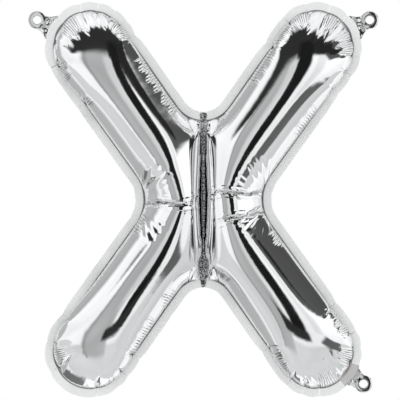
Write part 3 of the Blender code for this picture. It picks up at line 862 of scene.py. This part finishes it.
def welded_film(name, colour, mirror, roughness, grain):
    """A finish of welded film: its colour, how much of the mirror is left, how rough it is and how high its
    grain is in metres."""
    finish = bpy.data.materials.new(name)
    finish.use_nodes = True
    tree = finish.node_tree
    shader = tree.nodes["Principled BSDF"]
    shader.inputs["Metallic"].default_value = mirror
    shader.inputs["Base Color"].default_value = hex_colour(colour)
    shader.inputs["Roughness"].default_value = roughness
    on_piece = add_node(tree, "ShaderNodeTexCoord").outputs["Object"]
    grains = add_node(tree, "ShaderNodeTexNoise", Vector=on_piece, Scale=1 / SEAL_GRAIN, Detail=2.0)
    grainy = add_node(tree, "ShaderNodeBump", Height=grains.outputs["Fac"], Strength=1.0, Distance=grain)
    tree.links.new(grainy.outputs[0], shader.inputs["Normal"])
    return finish


def coloured_over(finish, share, colour):
    """Colours a finish over, by a share that a node gives."""
    tree = finish.node_tree
    base = tree.nodes["Principled BSDF"].inputs["Base Color"]
    below = base.links[0].from_socket if base.links else tuple(base.default_value)
    mixed = add_node(tree, "ShaderNodeMix", {"data_type": "RGBA"}, s0=share, s6=below, s7=hex_colour(colour))
    tree.links.new(mixed.outputs[2], base)


# Heat-sealed film: the heat and pressure of the seal take most of the mirror off it, so it shines softly and
# evenly. Painted shade darkens the first millimetre beside the seam, where the film's bulge shades it.
heat_sealed = welded_film("heat_sealed_film", "fbfdfd", 0.3, 0.42, 0.000008)
tree = heat_sealed.node_tree
out = add_node(tree, "ShaderNodeAttribute", {"attribute_name": "out"}).outputs["Fac"]
shade = add_node(tree, "ShaderNodeMapRange", s0=out, s1=1.4, s2=0.5, s3=0.0, s4=0.85).outputs[0]
coloured_over(heat_sealed, shade, "4c4f50")


def finished(name, mesh, replaced, finish, thick):
    """A piece of welded film in metres at its place in the frame, which rides on the body in place of a CAD
    node."""
    mesh.transform(Matrix.Translation((0, 0, LETTER_MIDDLE)) @ Matrix.Scale(0.001, 4))
    mesh.shade_smooth()
    mesh.materials.append(finish)
    piece = bpy.data.objects.new(name, mesh)
    bpy.context.scene.collection.objects.link(piece)
    wall = piece.modifiers.new("two films thick", "SOLIDIFY")
    wall.thickness = thick
    wall.offset = 0
    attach(piece, "root")
    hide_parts(replaced)


def seam_strip(name, places, rows, fold=None):
    """A strip along the seam as a grid, bent to the places along it and the rows out from it. Each corner
    keeps how far out it lies."""
    shape = bmesh.new()
    outs = shape.verts.layers.float.new("out")
    bmesh.ops.create_grid(shape, x_segments=len(places) - 1, y_segments=len(rows) - 1, size=1)
    for vertex in shape.verts:
        arm, along = places[round((vertex.co.x + 1) / 2 * (len(places) - 1))]
        row = rows[round((vertex.co.y + 1) / 2 * (len(rows) - 1))]
        vertex.co = on_seam(arm, np.array([along]), np.array([row]))[0]
        vertex[outs] = row
        if fold:
            vertex.co.y += fold(along, row)
    mesh = bpy.data.meshes.new(name)
    shape.to_mesh(mesh)
    shape.free()
    return mesh


tab_hole_of = {}
for arm in ("upper_left", "upper_right", "lower_right"):
    low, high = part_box("hanging_tab_" + arm)
    x = low[0] + HOLE_TO_SIDE if ARMS[arm][0] < 0 else high[0] - HOLE_TO_SIDE
    z = high[2] - HOLE_TO_SIDE if ARMS[arm][1] > 0 else low[2] + HOLE_TO_SIDE
    tab_hole_of[arm] = (1000 * x, 1000 * (z - LETTER_MIDDLE))
valve_at = nearest_along(*tab_hole_of[VALVE_ARM])
half_valve = VALVE_LENGTH / 2
round_letter = []
near_crotch = swollen_run[-1] - 11
for arm, order in zip(ARMS, (1, -1, 1, -1)):
    steps = [*np.arange(0, near_crotch, 2.0), *np.linspace(near_crotch, swollen_run[-1], 18)]
    for at, *_ in kinks_of[arm]:
        steps = [s for s in steps if abs(s - at) > 1.3] + [at + 0.4 * i for i in range(-3, 4)]
    round_letter += [(arm, s) for s in sorted(steps)[::order]][:-1]
over_valve = [i for i, (arm, s) in enumerate(round_letter)
              if arm == VALVE_ARM and abs(s - valve_at) <= half_valve + 0.5]
round_letter = [(VALVE_ARM, valve_at - half_valve), *round_letter[over_valve[-1] + 1:],
                *round_letter[:over_valve[0]], (VALVE_ARM, valve_at + half_valve)]
margin = seam_strip("margin", round_letter, MARGIN_ROWS)
finished("sealed_margin", margin, "edge_seal", heat_sealed, FILM_PAIR)

# The valve: a flat sleeve of clear film sealed in between the two, so the margin is a little thicker and
# duller over it. Its mouth is between the tab's films, and its sides are creased where the welds cross
# them.
VALVE_THICK = 0.00042
VALVE_ROWS = (-1.6, -0.6, 0.0, 0.5, 1.0, 2.0, 3.6, 5.0, 6.4, 7.8, 8.8, 9.2, 9.6)


def valve_fold(along, row):
    """The small creases at the two ends of the valve."""
    off = half_valve - abs(along - valve_at)
    return 0.3 * max(0.0, 1 - off / 3.5) * float(crumpled(off * 1.3, row * 0.35, 2.2))


# Film sealed over the clear sleeve, which shows as a thin reddish line along its two edges
valve_sleeve = welded_film("valve_sleeve_film", "dddfde", 0.5, 0.42, 0.00001)
tree = valve_sleeve.node_tree
out = add_node(tree, "ShaderNodeAttribute", {"attribute_name": "out"}).outputs["Fac"]
for edge_at, half in ((0.5, 0.35), (9.0, 0.3)):
    off = add_node(tree, "ShaderNodeMath", {"operation": "SUBTRACT"}, s0=out, s1=edge_at).outputs[0]
    off = add_node(tree, "ShaderNodeMath", {"operation": "ABSOLUTE"}, s0=off).outputs[0]
    on_line = add_node(tree, "ShaderNodeMath", {"operation": "LESS_THAN"}, s0=off, s1=half).outputs[0]
    coloured_over(valve_sleeve, on_line, "c9a49b")

steps = np.linspace(valve_at - half_valve - 0.2, valve_at + half_valve + 0.2, 42)
valve = seam_strip("valve", [(VALVE_ARM, s) for s in steps], VALVE_ROWS, valve_fold)
finished("valve_patch", valve, "valve_sleeve", valve_sleeve, VALVE_THICK)

# The welds down the middle join the films from crotch to crotch, with gaps that let the air across. The upper
# and the lower one run out over the margin to its edge.
OVER_MARGIN = {"upper": ((83.0, 2.2), (88.0, 2.6)), "middle": (), "lower": ((-89.0, 0.6), (-84.0, 2.0))}
WELD_GRID = 0.9
# How high its folds are and how far apart, and how far forward it stands where it runs over the margin
WELD_CRUMPLE = 0.6
WELD_FOLDS = 2.6
WELD_FORWARD = 0.9

# Crumpled welded film keeps its mirror. Its folds are too fine to draw each, so darker specks of painted
# shade, some 1.6 mm across, stand for them.
crumpled_weld = welded_film("crumpled_weld_film", "e4e6e7", 1.0, 0.25, 0.00016)
tree = crumpled_weld.node_tree
on_piece = add_node(tree, "ShaderNodeTexCoord").outputs["Object"]
painted_shade_specks = add_node(tree, "ShaderNodeTexNoise", Vector=on_piece, Scale=1 / 0.0016, Detail=3.0).outputs["Fac"]
painted_shade_specks = add_node(tree, "ShaderNodeMapRange", s0=painted_shade_specks, s1=0.44, s2=0.58, s3=0.0, s4=1.0).outputs[0]
coloured_over(crumpled_weld, painted_shade_specks, "4c4f50")

for name, weld in WELDS.items():
    weld = sorted(weld + OVER_MARGIN[name])
    outline = weld_outline(weld, 1.0, 0.9)
    low, high = weld[0][0] - 3, weld[-1][0] + 3
    free = np.array([(x, z) for z in np.arange(low, high, WELD_GRID) for x in np.arange(-7, 7, WELD_GRID)])
    keep = inside(free, outline) & (distances(free, outline) > 0.5)
    patch = filled("weld_" + name, [outline], free[keep])
    for vertex in patch.vertices:
        vertex.co.y += WELD_CRUMPLE * float(crumpled(vertex.co.x, vertex.co.z, WELD_FOLDS))
        vertex.co.y -= WELD_FORWARD * min(1.0, max(0.0, (abs(vertex.co.z) - 75) / 4))
    finished("weld_" + name, patch, "centre_seal_" + name, crumpled_weld, FILM_PAIR)

# The hanging tabs: tongues of both films, left on the cut edge as it is die cut and welded flat, each with a
# hole punched through it for a ribbon. They are crumpled at the neck and gathered at the root.
TAB_ROUND, TAB_HOLE, TAB_NECK = 9.1, 4.1, 16.0
TAB_ROOT = {"upper_left": 27.0, "upper_right": 27.0, "lower_right": 21.0}
TAB_OVERLAP = 1.6
TAB_GRID = 0.7
TAB_FILM = 0.0002

# Pressed tab film: nearly the bright mirror of the film, a little dulled by the punch and by handling
pressed_tab = welded_film("pressed_tab_film", "eff1f2", 1.0, 0.13, 0.000006)
for arm, hole in tab_hole_of.items():
    x, z = ARMS[arm]
    cap = np.array(SWOLLEN_SEAM["centre"]) * (x, z)
    reach = math.dist(hole, cap)
    out = (np.array(hole) - cap) / reach
    side = np.array((-out[1], out[0]))
    edge_radius = SWOLLEN_SEAM["cap"] + SEAL_WIDTH
    neck_at = math.sqrt(TAB_ROUND**2 - TAB_NECK**2 / 4)
    neck_turn = math.atan2(TAB_NECK / 2, -neck_at)
    root_turn = math.asin(TAB_ROOT[arm] / 2 / edge_radius)
    root_at = reach - edge_radius * math.cos(root_turn)
    flare = [(-neck_at - (root_at - neck_at) * t, TAB_NECK / 2 + (TAB_ROOT[arm] - TAB_NECK) / 2 * t**2.2)
             for t in np.linspace(0.08, 1, 12)]
    turns = np.linspace(neck_turn, -neck_turn, 60)
    edge = [(TAB_ROUND * math.cos(t), TAB_ROUND * math.sin(t)) for t in turns]
    edge += [(a, -b) for a, b in flare]
    edge += [((edge_radius - TAB_OVERLAP) * math.cos(t) - reach, (edge_radius - TAB_OVERLAP) * math.sin(t))
             for t in np.linspace(-root_turn, root_turn, 28)]
    edge += [(a, b) for a, b in flare[::-1]]
    turns = np.linspace(0, 2 * math.pi, 36, False)
    punched = [(TAB_HOLE * math.cos(t), TAB_HOLE * math.sin(t)) for t in turns]
    free = np.array([(a, b) for a in np.arange(-26, 10, TAB_GRID) for b in np.arange(-14, 14, TAB_GRID)])
    keep = inside(free, edge) & ~inside(free, punched) & (distances(free, edge + punched) > 0.45)
    placed = [[tuple(np.array(hole) + a * out + b * side) for a, b in run]
              for run in (edge, punched, free[keep])]
    tab = filled("tab_" + arm, placed[:2], placed[2])
    for vertex in tab.vertices:
        off = np.array((vertex.co.x, vertex.co.z)) - hole
        a, b = off @ out, off @ side
        at_neck = math.exp(-((a + 11.0) / 3.6) ** 2)
        at_root = max(0.0, 1 - abs(a + 18.5) / 5.0)
        vertex.co.y += 0.95 * at_neck * float(crumpled(a, b * 0.8 + 3 * ARMS[arm][1], 7.0))
        vertex.co.y += 0.13 * at_root * math.cos(2 * math.pi * a / 2.6)
        vertex.co.y += 0.5 * max(0.0, (math.hypot(a, b) - 6.0) / 3.1) ** 2 * (a > -8)
    finished("tab_" + arm, tab, "hanging_tab_" + arm, pressed_tab, TAB_FILM)
